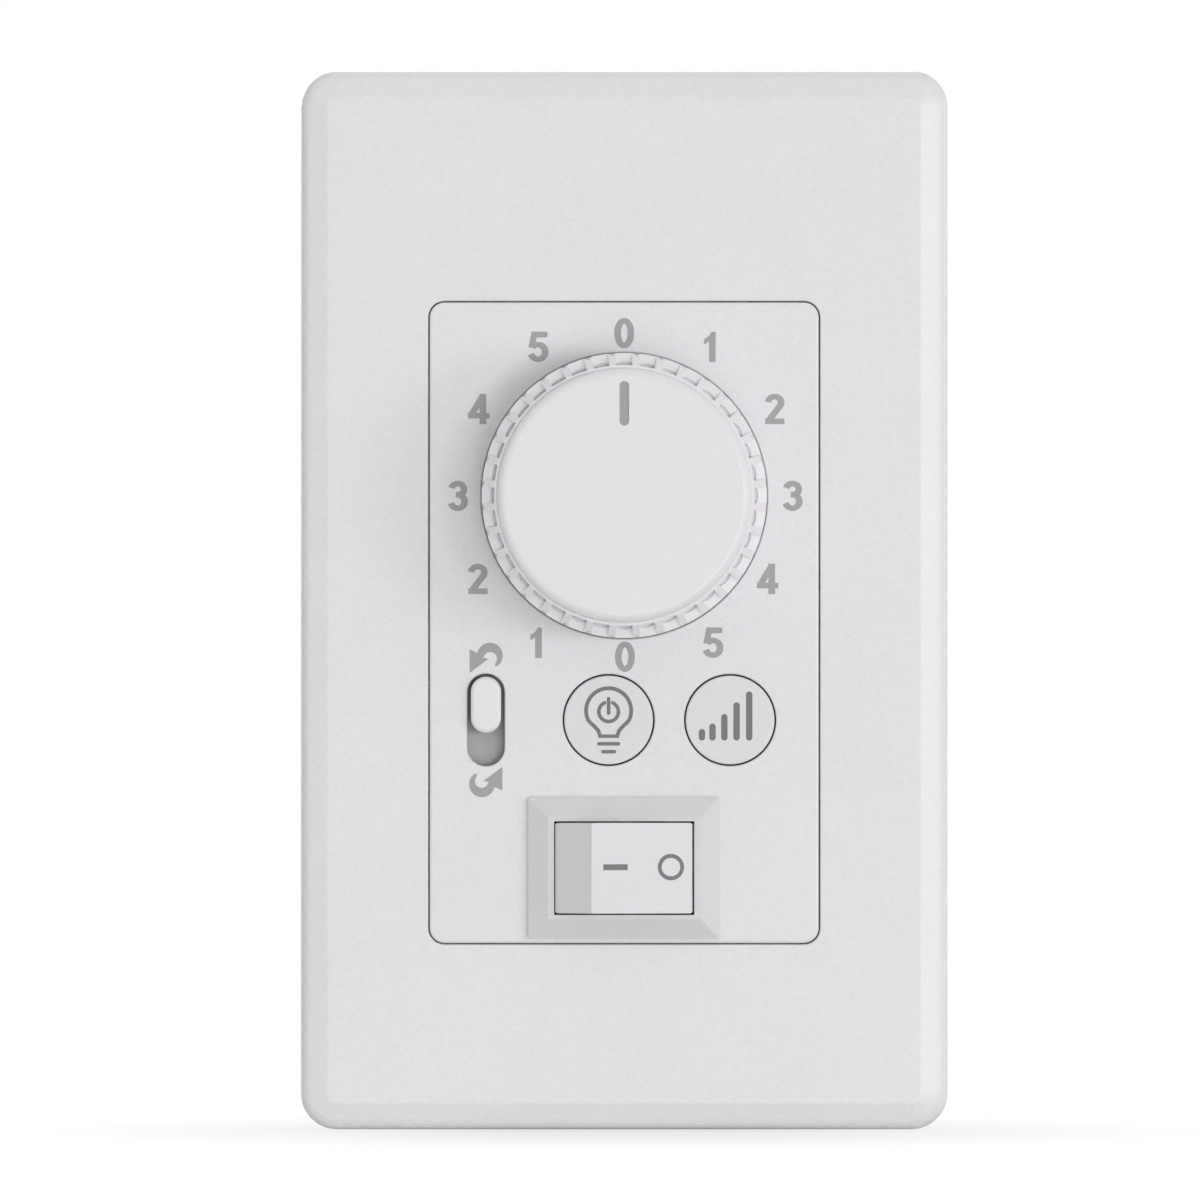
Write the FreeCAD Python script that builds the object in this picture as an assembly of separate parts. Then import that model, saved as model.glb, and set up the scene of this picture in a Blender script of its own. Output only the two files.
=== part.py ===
import FreeCAD
import Part
import math
import os

V = FreeCAD.Vector

# Frame: X right, Z up, the front looks along -Y and the wall surface is Y = 0

# Room left between neighbours, and the fit of pressed and sliding pieces
clear = 0.15
fit = 0.04

# How far a cutter reaches past the face it cuts
past = 1.0

# Wall plate, a standard single gang cover
plate_width = 69.85
plate_height = 114.3
plate_depth = 6.4
plate_corner = 3.9
plate_wall = 1.8
plate_lean = 0.12
bevel_width = 2.9
bevel_drop = 0.62
rim_round = 1.35
bevel_round = 1.5
edge_break = 0.12
hook_x = 29.6
hook_z = 33.0
hook_width = 7.0
hook_leg = 1.2
hook_barb = 0.55
hook_lift = 0.9

# Control panel, flush in the plate
panel_width = 41.92
panel_height = 69.05
panel_z = -2.45
panel_corner = 1.6
panel_thick = 2.0
panel_wall = 1.4
seam = 0.17

# Strap, screw spacing and the sub-plate the cover snaps on
strap_thick = 1.2
strap_width = 46.0
strap_top = 37.4
strap_low = -38.4
strap_corner = 3.0
ear_width = 30.0
ear_length = 106.4
ear_corner = 6.0
box_screw_z = 41.65
box_hole_r = 2.1
cover_screw_z = 48.42
cover_hole_r = 1.75
window_wide = 37.4
window_wide_low = -26.0
window_wide_top = 21.5
window_narrow = 26.0
window_narrow_low = -35.8
window_narrow_top = 30.0
tab_left = 14.0
tab_width = 8.6
tab_reach = 9.4
tab_bend = 0.95
ground_y = 5.0
ground_shank_out = 1.9
frame_gap = 0.35
frame_thick = 1.6
frame_skirt = 1.2
frame_window_margin = 1.9
frame_hole_r = 4.6
frame_corner = 2.0
slot_room = 0.25
hook_room = 0.7

# Rear housing with its side pockets
housing_width = 42.0
housing_height = 69.4
housing_depth = 25.0
housing_wall = 1.6
housing_corner = 2.4
housing_round = 1.4
boss_x = 17.6
boss_top_z = 28.0
boss_low_z = -33.4
boss_r = 2.9
panel_boss_r = 2.6
case_screw_r = 1.45
case_head_r = 2.7
case_head = 2.0
case_head_depth = 3.4
pocket_z = (10.0, -10.0)
pocket_height = 11.4
pocket_front = 9.2
pocket_back = 19.6
pocket_floor = 14.8
pocket_wall = 1.3
vent_z = (24.5, 20.5, 16.5)
vent_width = 22.0
vent_height = 1.6

# Circuit board and what stands on it
board_front = 3.6
board_thick = 1.6
board_width = 37.6
board_low = -20.2
board_top = 29.6
board_notch_x = 13.4
board_notch_z = 23.8
ledge_z = (20.5, -18.7)
ledge_width = 2.2
ledge_height = 2.4
post_r = 2.1
post_places = ((15.6, -1.0), (-15.6, -1.0), (0.0, 27.0))
board_screw_r = 1.05
board_head_r = 2.1
board_head = 1.5

# Terminals
terminal_thick = 0.9
terminal_height = 8.6
terminal_tail = 3.0
terminal_screw_r = 1.7
terminal_head_r = 3.6
terminal_head = 2.3
terminal_gap = 0.8
slot_depth = 0.9
slot_width = 0.9

# Speed knob
knob_z = 11.25
knob_r = 15.34
knob_height = 12.0
cap_r = 13.72
cap_step = 1.15
cap_round = 0.92
ledge_r = 14.06
shoulder_r = 15.29
shoulder_drop = 1.1
knob_skirt = 1.9
knob_top_wall = 2.1
hub_r = 5.0
hub_low = 2.9
rib_thick = 1.1
rib_low = 5.6
rib_count = 4
knob_sink = 0.25
recess_r = 15.47
recess_depth = 0.5
flute_count = 36
flute_width = 1.74
flute_depth = 0.94
flute_fall = 9.0
root_r = 1.8
root_reach = 0.4
root_depth = 0.34
flute_bite = 0.06
groove_width = 0.84
groove_depth = 0.27
grip_low = 7.0
mark_width = 1.04
mark_length = 4.82
mark_r = 9.9
mark_depth = 0.15

# Rotary switch under the knob
switch_r = 12.4
cover_thick = 1.2
bushing_r = 4.5
bushing_bore = 3.06
bushing_out = 2.4
bushing_room = 0.15
shaft_r = 3.0
shaft_flat = 1.5
shaft_out = 8.7
shaft_collar = 3.9
cavity_r = 10.6
cup_floor = 1.4
notch_r = 0.95
notch_centre = 10.75
detents = 12
rotor_r = 10.1
rotor_front = -2.4
rotor_thick = 3.2
ball_r = 1.0
ball_at = 9.45
contact_at = 8.6
contact_r = 0.95
contact_thick = 0.35
pin_r = 0.8
common_in = 4.3
common_out = 5.7
washer_r = 7.4
washer_thick = 0.5
nut_across = 12.0
nut_thick = 2.0

# Direction slide switch
slide_x = -14.91
slide_z = -12.93
slide_slot_width = 4.05
slide_slot_length = 9.99
slide_travel = 3.26
slide_cap_width = 3.25
slide_cap_length = 6.07
slide_cap_out = 1.1
slide_cap_round = 0.45
shutter_width = 6.4
shutter_length = 14.6
shutter_thick = 0.8
shutter_corner = 1.0
shutter_room = 0.12
tongue_width = 2.2
tongue_length = 4.2
stem_width = 1.3
stem_length = 2.6
can_width = 6.6
can_length = 13.4
can_front = -1.5
can_back = 2.2
can_wall = 0.4
carriage_width = 4.4
carriage_length = 5.72
carriage_thick = 1.5
contact_step = 1.62

# Push keys and the small switches behind them
key_z = -12.94
light_x = -1.68
dimmer_x = 11.42
key_hole_r = 4.97
key_r = 4.79
key_round = 0.2
key_flange_r = 5.7
key_flange = 0.8
key_wall = 1.2
key_stem_r = 1.7
key_travel = 0.5
key_room = 0.12
tact_side = 6.0
tact_height = 3.5
tact_stem_r = 1.6
tact_stem_out = 1.5
tact_cover = 0.3
leg_width = 0.8
leg_out = 1.3

# Rocker switch
rocker_z = -28.9
bezel_width = 20.7
bezel_height = 15.26
bezel_out = 1.75
bezel_edge = 0.7
bezel_slope = 2.1
bezel_corner = 0.3
opening_width = 14.94
opening_height = 10.1
opening_round = 0.38
rocker_gap = 0.17
body_width = 18.8
body_height = 12.6
body_wall = 0.75
body_back = 4.2
catch_out = 0.5
catch_long = 2.25
catch_width = 4.0
crest_x = -3.52
tilt = 18.0
corner_sink = 0.12
arc_end = 9.0
rocker_skin = 1.2
rocker_round = 0.25
trunnion_r = 1.2
trunnion_length = 1.05
stem_tube_r = 2.1
stem_bore_r = 1.25
stem_tube_end = 4.6
plunger_end = 6.7
plunger_head = 3.2
spring_top = -1.6
spring_wire = 0.16
spring_turns = 4
spring_sides = 6
blade_tilt = 10.0
blade_flank = 24.0
blade_wing = 6.3
blade_thick = 0.5
blade_width = 4.2
blade_room = 0.36
bead_r = 0.25
base_back = 9.0
base_floor = 1.2
tab_thick = 0.8
tab_blade = 4.75
tab_end = 15.2
contact_x = 5.3
rivet_r = 1.3
rivet_thick = 0.6
lead_r = 0.85
lead_bend = 3.6

# Parts soldered on the back of the board
film_size = (17.5, 7.0, 12.0)
film_at = (0.0, 21.0)
film_corner = 0.4
choke_at = (-6.6, 11.5)
choke_r = 5.6
choke_winding_r = 5.0
choke_tall = 11.0
choke_flange = 1.2
buffer_at = (6.6, 12.0)
buffer_r = 4.0
buffer_tall = 11.5
fuse_at = (9.0, -8.6)
fuse_r = 4.1
fuse_tall = 7.2
can_break = 0.5
triac_at = (0.0, -2.6)
triac_width = 10.2
triac_deep = 4.6
triac_leg = 3.0
triac_body = 9.2
triac_tab = 1.3
triac_tab_out = 4.2
triac_hole_r = 1.8
triac_pitch = 2.54
chip_at = (-7.2, -12.4)
chip_size = (10.4, 7.5)
chip_tall = 2.4
chip_lift = 0.2
chip_leg = 0.5
chip_leg_out = 1.4
chip_legs = 8
chip_pitch = 1.27

# Levels worked out from the above
face = -plate_depth
panel_back = face + panel_thick
board_back = board_front + board_thick
opening_outer_width = panel_width + 2 * seam
opening_outer_height = panel_height + 2 * seam
recess_floor = face + recess_depth
slide_rest_z = slide_z + slide_travel / 2
bezel_top = face - bezel_out
angle = math.radians(tilt)
edge_x = opening_width / 2 - rocker_gap
crest_reach = (edge_x + crest_x) / 2 / math.sin(angle)
crest_half = (edge_x - crest_x) / 2 / math.cos(angle)
rocker_r = math.hypot(crest_reach, crest_half)
pivot_y = bezel_top - corner_sink + crest_reach * math.cos(angle) - crest_half * math.sin(angle)


def slab(width, height, front, back, x=0.0, z=0.0, corner=0.0):
    solid = Part.makeBox(width, back - front, height, V(x - width / 2, front, z - height / 2))
    if corner:
        upright = [e for e in solid.Edges if abs(e.tangentAt(e.FirstParameter).y) > 0.99]
        solid = solid.makeFillet(corner, upright)
    return solid


def disc(radius, front, back, x=0.0, z=0.0):
    return Part.makeCylinder(radius, back - front, V(x, front, z), V(0, 1, 0))


def ring(outer, inner, front, back, x=0.0, z=0.0):
    return disc(outer, front, back, x, z).cut(disc(inner, front, back, x, z))


def obround(width, length, front, back, x=0.0, z=0.0):
    straight = length - width
    ends = [disc(width / 2, front, back, x, z + side * straight / 2) for side in (-1, 1)]
    return joined(slab(width, straight, front, back, x, z), ends)


def turned(outline, x=0.0, z=0.0):
    points = [V(x + r, y, z) for r, y in outline]
    face_shape = Part.Face(Part.makePolygon(points + points[:1]))
    return face_shape.revolve(V(x, 0, z), V(0, 1, 0), 360)


def cut_profile(points, low, high):
    corners = [V(x, y, low) for x, y in points]
    return Part.Face(Part.makePolygon(corners + corners[:1])).extrude(V(0, 0, high - low))


def joined(solid, others):
    return solid.fuse(others).removeSplitter()


def around(solid, count, x, z, first=0.0):
    copies = []
    for step in range(count):
        turn = solid.copy()
        turn.rotate(V(x, 0, z), V(0, 1, 0), first + step * 360.0 / count)
        copies.append(turn)
    return copies


def edges_at(solid, y, reach=None):
    found = []
    for edge in solid.Edges:
        box = edge.BoundBox
        level = abs(box.YMin - y) < 1e-4 and abs(box.YMax - y) < 1e-4
        if level and (reach is None or reach(box)):
            found.append(edge)
    return found


def rounded_outline(width, height, corner, y):
    solid = slab(width, height, y - past, y, corner=corner)
    return next(f for f in solid.Faces if abs(f.BoundBox.YMin - y) < 1e-6).OuterWire


def save(name, shape):
    shape.exportStep("parts/" + name + ".step")


def coil(radius, wire, turns, length):
    spine = Part.makeHelix(length / turns, length, radius)
    turns_round = [2 * math.pi * side / spring_sides for side in range(spring_sides)]
    points = [V(radius + wire * math.cos(t), 0, wire * math.sin(t)) for t in turns_round]
    section = Part.makePolygon(points + points[:1])
    return Part.Wire(spine).makePipeShell([section], True, True)


def wall_plate():
    inset = plate_lean
    levels = ((0.0, 0.0), (face + bevel_drop, inset), (face, bevel_width))
    outlines = []
    for y, lean in levels:
        sides = (plate_width - 2 * lean, plate_height - 2 * lean)
        outlines.append(rounded_outline(sides[0], sides[1], plate_corner - lean, y))
    body = Part.makeLoft(outlines, True, True)
    body = body.makeFillet(rim_round, edges_at(body, face + bevel_drop))
    body = body.makeFillet(bevel_round, edges_at(body, face))
    inner_width = plate_width - 2 * plate_wall
    inner_height = plate_height - 2 * plate_wall
    hollow = slab(inner_width, inner_height, face + plate_wall, past, corner=plate_corner - plate_wall)
    opening_corner = panel_corner + seam
    opening = slab(opening_outer_width, opening_outer_height, face - past, past, z=panel_z,
                   corner=opening_corner)
    body = body.cut(hollow)
    collar_back = -strap_thick - clear - frame_thick - clear
    collar_size = 2 * (frame_window_margin - 2 * clear)
    collar = slab(opening_outer_width + collar_size, opening_outer_height + collar_size,
                  face + plate_wall, collar_back, z=panel_z, corner=opening_corner + clear)
    body = joined(body, [collar] + hooks())
    body = body.cut(opening)
    inside = opening_outer_width / 2 + fit
    lip = edges_at(body, face, lambda b: b.XMin > -inside and b.XMax < inside)
    return body.makeChamfer(edge_break, lip)


def hooks():
    solids = []
    barb_front = -strap_thick + clear
    tip = barb_front + hook_lift
    outline = ((0, face + plate_wall), (hook_leg, face + plate_wall), (hook_leg, barb_front),
               (hook_leg + hook_barb, barb_front), (hook_leg, tip), (0, tip))
    for side in (-1, 1):
        points = [(side * (hook_x + x), y) for x, y in outline]
        for z in (-hook_z, hook_z):
            solids.append(cut_profile(points, z - hook_width / 2, z + hook_width / 2))
    return solids


def snap_frame():
    width = plate_width - 2 * plate_wall - 2 * frame_gap
    height = plate_height - 2 * plate_wall - 2 * frame_gap
    back = -strap_thick - clear
    front = back - frame_thick
    body = slab(width, height, front, -clear, corner=frame_corner)
    inside = slab(width - 2 * frame_skirt, height - 2 * frame_skirt, back, past)
    window_width = opening_outer_width + 2 * frame_window_margin
    window_height = opening_outer_height + 2 * frame_window_margin
    tools = [inside, slab(window_width, window_height, front - past, past, z=panel_z, corner=panel_corner)]
    slot_length = hook_width + 2 * slot_room
    slot_across = hook_leg + hook_room + slot_room / 2
    for side in (-1, 1):
        tools.append(disc(frame_hole_r, front - past, past, z=side * box_screw_z))
        tools.append(disc(cover_hole_r + slot_room, front - past, past, z=side * cover_screw_z))
        centre = side * (hook_x - hook_room + slot_across / 2)
        for z in (-hook_z, hook_z):
            tools.append(slab(slot_across, slot_length, front - past, past, x=centre, z=z))
    return body.cut(tools)


def slotted(head_r, front, back, x, z):
    return slab(slot_width, 2 * (head_r + past), front, back, x=x, z=z)


def frame_screws():
    front = -strap_thick - clear - frame_thick
    solids = []
    for z in (-cover_screw_z, cover_screw_z):
        head = disc(2 * cover_hole_r, front - slot_depth, front, z=z)
        shank = disc(cover_hole_r - clear / 3, front, 2 * strap_thick, z=z)
        screw = joined(head, [shank])
        solids.append(screw.cut(slab(2 * head.BoundBox.XLength, slot_width, front - slot_depth,
                                     front - slot_depth / 2, z=z)))
    return Part.makeCompound(solids)


def ground_tab():
    thick = strap_thick
    reach = tab_reach + thick
    tab = Part.makeBox(tab_width, reach, thick, V(tab_left, -thick, strap_top - thick))
    bend = [e for e in tab.Edges if abs(e.BoundBox.YMax + thick) < 1e-6 and e.BoundBox.XLength > thick
            and e.BoundBox.ZMin > strap_top - thick / 2]
    hole_at = V(tab_left + tab_width / 2, ground_y, strap_top - 2 * thick)
    return tab.makeFillet(tab_bend, bend).cut(Part.makeCylinder(cover_hole_r, 3 * thick, hole_at))


def mounting_strap():
    middle_height = strap_top - strap_low
    middle_z = (strap_top + strap_low) / 2
    low_edges_clear = strap_width / 2 - strap_corner
    body = slab(strap_width, middle_height, -strap_thick, 0, z=middle_z)
    body = joined(body, [slab(ear_width, ear_length, -strap_thick, 0, corner=ear_corner)])
    corners = [e for e in body.Edges if e.BoundBox.YLength > strap_thick / 2 and e.BoundBox.ZMax < 0
               and abs(e.BoundBox.XMin) > low_edges_clear]
    body = body.makeFillet(strap_corner, corners)
    wide_height = window_wide_top - window_wide_low
    narrow_height = window_narrow_top - window_narrow_low
    wide_z = (window_wide_top + window_wide_low) / 2
    narrow_z = (window_narrow_top + window_narrow_low) / 2
    through = (-strap_thick - past, past)
    wide = slab(window_wide, wide_height, *through, z=wide_z)
    holes = [joined(wide, [slab(window_narrow, narrow_height, *through, z=narrow_z)])]
    for side in (-1, 1):
        holes.append(disc(box_hole_r, *through, z=side * box_screw_z))
        holes.append(disc(cover_hole_r, *through, z=side * cover_screw_z))
        for z in (boss_top_z, boss_low_z):
            holes.append(disc(case_screw_r + clear, *through, x=side * boss_x, z=z))
    body = body.cut(holes)
    tab_x = tab_left + tab_width / 2
    blank = slab(tab_width, strap_thick, -strap_thick, 0, tab_x, strap_top - strap_thick / 2)
    return joined(body.cut(blank), [ground_tab()])


def ground_screw():
    x = tab_left + tab_width / 2
    up = V(0, 0, 1)
    seat = strap_top + terminal_gap / 2
    head = Part.makeCylinder(terminal_head_r, terminal_head, V(x, ground_y, seat), up)
    shank_low = strap_top - strap_thick - ground_shank_out
    shank = Part.makeCylinder(cover_hole_r - clear / 3, strap_top + terminal_gap - shank_low,
                              V(x, ground_y, shank_low), up)
    head_top = head.BoundBox.ZMax
    slot_reach = terminal_head_r + past
    slot = Part.makeBox(2 * slot_reach, slot_width, slot_depth + past,
                        V(x - slot_reach, ground_y - slot_width / 2, head_top - slot_depth))
    return joined(head, [shank]).cut(slot)


def control_panel():
    body = slab(panel_width, panel_height, face, -strap_thick, z=panel_z, corner=panel_corner)
    body = body.makeChamfer(edge_break, edges_at(body, face))
    inside = slab(panel_width - 2 * panel_wall, panel_height - 2 * panel_wall, panel_back, 0, z=panel_z)
    body = body.cut(inside)
    bosses = []
    pilots = []
    for x in (-boss_x, boss_x):
        for z in (boss_top_z, boss_low_z):
            bosses.append(disc(panel_boss_r, panel_back, -strap_thick, x, z))
            pilots.append(disc(case_screw_r + fit, panel_back, past, x, z))
    for x, z in post_places:
        bosses.append(disc(post_r, panel_back, board_front, x, z))
        pilots.append(disc(board_screw_r + fit, panel_back + 2 * board_screw_r, board_front + past, x, z))
    body = joined(body, bosses)
    through = (face - past, 0)
    pilots.append(disc(recess_r, face - past, recess_floor, z=knob_z))
    pilots.append(disc(bushing_r + bushing_room, face, 0, z=knob_z))
    pilots.append(obround(slide_slot_width, slide_slot_length, *through, slide_x, slide_z))
    pilots.append(disc(key_hole_r, *through, light_x, key_z))
    pilots.append(disc(key_hole_r, *through, dimmer_x, key_z))
    pilots.append(slab(body_width + 2 * clear, body_height + 2 * clear, *through, z=rocker_z))
    body = body.cut(pilots)
    holes = edges_at(body, face, lambda b: b.XMin > past - panel_width / 2 and b.XMax < panel_width / 2 - past
                     and b.ZMin > rocker_z + bezel_height / 2)
    return body.makeChamfer(edge_break, holes)


def rear_housing():
    body = slab(housing_width, housing_height, 0, housing_depth, z=panel_z, corner=housing_corner)
    body = body.makeFillet(housing_round, edges_at(body, housing_depth))
    outside = housing_depth + past
    inside = slab(housing_width - 2 * housing_wall, housing_height - 2 * housing_wall, -past,
                  housing_depth - housing_wall, z=panel_z)
    pockets = []
    lining = []
    tails = []
    for side in (-1, 1):
        for z in pocket_z:
            depth = housing_width / 2 - pocket_floor + past
            x = side * (pocket_floor + depth / 2)
            pockets.append(slab(depth, pocket_height, pocket_front, pocket_back, x, z))
            grown_x = side * (pocket_floor + depth / 2 - pocket_wall / 2)
            lining.append(slab(depth + pocket_wall, pocket_height + 2 * pocket_wall,
                               pocket_front - pocket_wall, pocket_back + pocket_wall, grown_x, z))
            tail_x = side * (pocket_floor + terminal_thick / 2)
            tails.append(slab(terminal_thick + clear, terminal_tail + clear, 0, pocket_front + past,
                              tail_x, z))
            hole_y = (pocket_front + pocket_back) / 2
            hole_x = side * pocket_floor
            tails.append(Part.makeCylinder(terminal_screw_r + clear, 2 * pocket_wall,
                                           V(hole_x, hole_y, z), V(-side, 0, 0)))
    bosses = []
    bores = []
    for x in (-boss_x, boss_x):
        for z in (boss_top_z, boss_low_z):
            bosses.append(disc(boss_r + housing_wall / 2, 0, housing_depth - housing_round, x, z))
            bores.append(disc(case_screw_r + clear, -past, outside, x, z))
            bores.append(disc(case_head_r + clear, housing_depth - case_head_depth, outside, x, z))
    vent_front = housing_depth - 2 * housing_wall
    vents = [slab(vent_width, vent_height, vent_front, outside, z=z) for z in vent_z]
    ledges = board_ledges()
    shell = body.cut(inside.cut(lining))
    shell = joined(shell, [b.common(body) for b in bosses] + ledges)
    return shell.cut(pockets + tails + bores + vents)


def board_ledges():
    solids = []
    for side in (-1, 1):
        for z in ledge_z:
            x = side * (housing_width / 2 - housing_wall - ledge_width / 2 + clear)
            solids.append(slab(ledge_width, ledge_height, board_back, housing_depth - housing_wall, x, z))
    return solids


def housing_screws():
    head_front = housing_depth - case_head_depth
    solids = []
    for x in (-boss_x, boss_x):
        for z in (boss_top_z, boss_low_z):
            head_back = head_front + case_head
            head = disc(case_head_r, head_front, head_back, x, z)
            shank = disc(case_screw_r, panel_back + panel_thick / 2, head_front, x, z)
            slot = slotted(case_head_r, head_back - slot_depth, head_back + past, x, z)
            solids.append(joined(head, [shank]).cut(slot))
    return Part.makeCompound(solids)


def main_board():
    height = board_top - board_low
    body = slab(board_width, height, board_front, board_back, z=(board_top + board_low) / 2)
    tools = []
    through = (board_front - past, board_back + past)
    notch = board_width / 2 - board_notch_x + past
    for side in (-1, 1):
        x = side * (board_notch_x + notch / 2)
        tools.append(slab(notch, 2 * (board_top - board_notch_z), *through, x, board_top))
        for z in pocket_z:
            tail_x = side * (pocket_floor + terminal_thick / 2)
            tools.append(slab(terminal_thick + clear, terminal_tail + clear, *through, tail_x, z))
    for x, z in post_places:
        tools.append(disc(board_screw_r + clear, *through, x, z))
    return body.cut(tools)


def board_screws():
    solids = []
    for x, z in post_places:
        head = disc(board_head_r, board_back, board_back + board_head, x, z)
        shank = disc(board_screw_r, panel_back + 3 * board_screw_r, board_back, x, z)
        slot = slotted(board_head_r, board_back + board_head / 2, board_back + 2 * board_head, x, z)
        solids.append(joined(head, [shank]).cut(slot))
    return Part.makeCompound(solids)


def terminal_plates():
    solids = []
    middle = (pocket_front + pocket_back) / 2
    for side in (-1, 1):
        x = side * (pocket_floor + terminal_thick / 2)
        for z in pocket_z:
            plate = slab(terminal_thick, terminal_height, pocket_front + clear, pocket_back - clear, x, z)
            tail = slab(terminal_thick, terminal_tail, board_front + clear, pocket_front + past, x, z)
            hole = Part.makeCylinder(terminal_screw_r + clear / 3, 3 * terminal_thick,
                                     V(x - 1.5 * side * terminal_thick, middle, z), V(side, 0, 0))
            solids.append(joined(plate, [tail]).cut(hole))
    return Part.makeCompound(solids)


def terminal_screws():
    solids = []
    middle = (pocket_front + pocket_back) / 2
    for side in (-1, 1):
        for z in pocket_z:
            out = V(side, 0, 0)
            seat = pocket_floor + terminal_thick + terminal_gap
            inner = pocket_floor - 1.5 * pocket_wall
            head = Part.makeCylinder(terminal_head_r, terminal_head, V(side * seat, middle, z), out)
            shank = Part.makeCylinder(terminal_screw_r, seat - inner, V(side * inner, middle, z), out)
            slot_front = side * (seat + terminal_head - slot_depth / 2)
            slot = slab(slot_depth, slot_width, middle - 2 * terminal_head_r, middle + 2 * terminal_head_r,
                        slot_front, z)
            solids.append(joined(head, [shank]).cut(slot))
    return Part.makeCompound(solids)


def knob_level(height):
    return face - height


def knob():
    top = knob_level(knob_height)
    ledge = knob_level(knob_height - cap_step)
    shoulder = knob_level(knob_height - cap_step - shoulder_drop)
    rim = knob_level(knob_height - cap_step - shoulder_drop - (knob_r - shoulder_r))
    low = knob_level(-knob_sink)
    roof = knob_level(knob_height - knob_top_wall)
    hub = knob_level(hub_low)
    inner_r = knob_r - knob_skirt
    outer = ((0, top), (cap_r, top), (cap_r, ledge), (ledge_r, ledge), (shoulder_r, shoulder), (knob_r, rim))
    inner = ((knob_r, low), (inner_r, low), (inner_r - 2 * clear, roof), (hub_r, roof), (hub_r, hub),
             (0, hub))
    body = turned(outer + inner, 0, knob_z)
    body = body.makeFillet(cap_round, edges_at(body, top))
    tools = around(flute(ledge), flute_count, 0, knob_z)
    cuts = groove(shoulder - shoulder_drop, knob_level(grip_low))
    tools += around(cuts, flute_count, 0, knob_z, 180.0 / flute_count)
    tools.append(shaft_bore())
    tools.append(obround(mark_width, mark_length, top - past, top + mark_depth, 0, knob_z + mark_r))
    body = body.cut(tools)
    rib_reach = inner_r - hub_r
    rib = slab(rib_thick, rib_reach + knob_skirt / 4, roof - knob_top_wall / 4, knob_level(rib_low),
               0, knob_z + hub_r + rib_reach / 2)
    return joined(body, around(rib, rib_count, 0, knob_z))


def flute(ledge):
    start = knob_z + ledge_r - flute_bite
    reach = 2 * (knob_r - ledge_r)
    floor = ledge + flute_depth
    fall = reach * math.tan(math.radians(flute_fall))
    rim = start + reach
    outline = ((ledge - past, start), (floor, start), (floor + fall, rim), (ledge - past, rim))
    corners = [V(-flute_width / 2, y, z) for y, z in outline]
    slot = Part.Face(Part.makePolygon(corners + corners[:1])).extrude(V(flute_width, 0, 0))
    arc = disc(root_r, floor - flute_bite, floor + root_depth, 0, start + root_reach - root_r)
    keep = slab(flute_width - 2 * flute_bite, reach, ledge, floor + reach, 0, start + reach / 2)
    return joined(slot, [arc.common(keep)])


def groove(front, back):
    bottom = knob_z + knob_r - groove_depth
    mouth = knob_z + knob_r + groove_depth
    corners = [V(0, front, bottom), V(groove_width, front, mouth), V(-groove_width, front, mouth)]
    return Part.Face(Part.makePolygon(corners + corners[:1])).extrude(V(0, back - front, 0))


def shaft_bore():
    room = bushing_bore - shaft_r
    back = knob_level(hub_low) + past
    bore = disc(shaft_r + room, knob_level(shaft_out + 2 * clear), back, 0, knob_z)
    flat_z = knob_z + shaft_flat + room + shaft_r / 2
    flat = slab(3 * shaft_r, shaft_r, knob_level(shaft_out) - past, back, 0, flat_z)
    return bore.cut(flat)


def rotary_shaft():
    tip = knob_level(shaft_out)
    rotor_back = rotor_front + rotor_thick
    body = disc(shaft_r, tip, rotor_back, 0, knob_z)
    collar_front = panel_back + cover_thick + clear
    body = joined(body, [disc(shaft_collar, collar_front, rotor_front, 0, knob_z)])
    flat_z = knob_z + shaft_flat + shaft_r / 2
    flat = slab(3 * shaft_r, shaft_r, tip - past, knob_level(hub_low - 2 * clear), 0, flat_z)
    return body.cut(flat)


def rotary_cover():
    plate = disc(switch_r, panel_back, panel_back + cover_thick, 0, knob_z)
    bushing = disc(bushing_r, knob_level(bushing_out), panel_back, 0, knob_z)
    bore = disc(bushing_bore, knob_level(bushing_out) - past, panel_back + cover_thick, 0, knob_z)
    return joined(plate, [bushing]).cut(bore)


def rotary_washer():
    front = recess_floor - washer_thick
    return ring(washer_r, bushing_r + bushing_room / 2, front, recess_floor, 0, knob_z)


def rotary_nut():
    back = recess_floor - washer_thick
    corner = nut_across / math.sqrt(3)
    turns = [math.radians(60 * step) for step in range(6)]
    points = [V(corner * math.cos(t), back, knob_z + corner * math.sin(t)) for t in turns]
    hexagon = Part.Face(Part.makePolygon(points + points[:1])).extrude(V(0, -nut_thick, 0))
    return hexagon.cut(disc(bushing_r + bushing_room / 2, back - nut_thick, back, 0, knob_z))


def rotary_contacts():
    top = board_front - cup_floor - contact_thick
    stud = disc(contact_r, top, board_front, 0, knob_z + contact_at)
    solids = around(stud, detents, 0, knob_z)
    solids.append(ring(common_out, common_in, top, board_front - cup_floor, 0, knob_z))
    return Part.makeCompound(solids)


def rotary_case():
    front = panel_back + cover_thick
    body = disc(switch_r, front, board_front, 0, knob_z)
    tools = [disc(cavity_r, front - past, board_front - cup_floor, 0, knob_z)]
    notch = disc(notch_r, front - past, rotor_front + rotor_thick, 0, knob_z + notch_centre)
    tools += around(notch, detents, 0, knob_z)
    stud = disc(contact_r + fit, front, board_front + past, 0, knob_z + contact_at)
    return body.cut(tools + around(stud, detents, 0, knob_z))


def rotary_rotor():
    back = rotor_front + rotor_thick
    body = ring(rotor_r, shaft_r + fit, rotor_front, back, 0, knob_z)
    middle = rotor_front + rotor_thick / 2
    pocket_low = shaft_collar + clear
    bore = Part.makeCylinder(ball_r + clear / 2, rotor_r, V(0, middle, knob_z + pocket_low), V(0, 0, 1))
    return body.cut(bore)


def detent_ball():
    return Part.makeSphere(ball_r, V(0, rotor_front + rotor_thick / 2, knob_z + ball_at))


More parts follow.
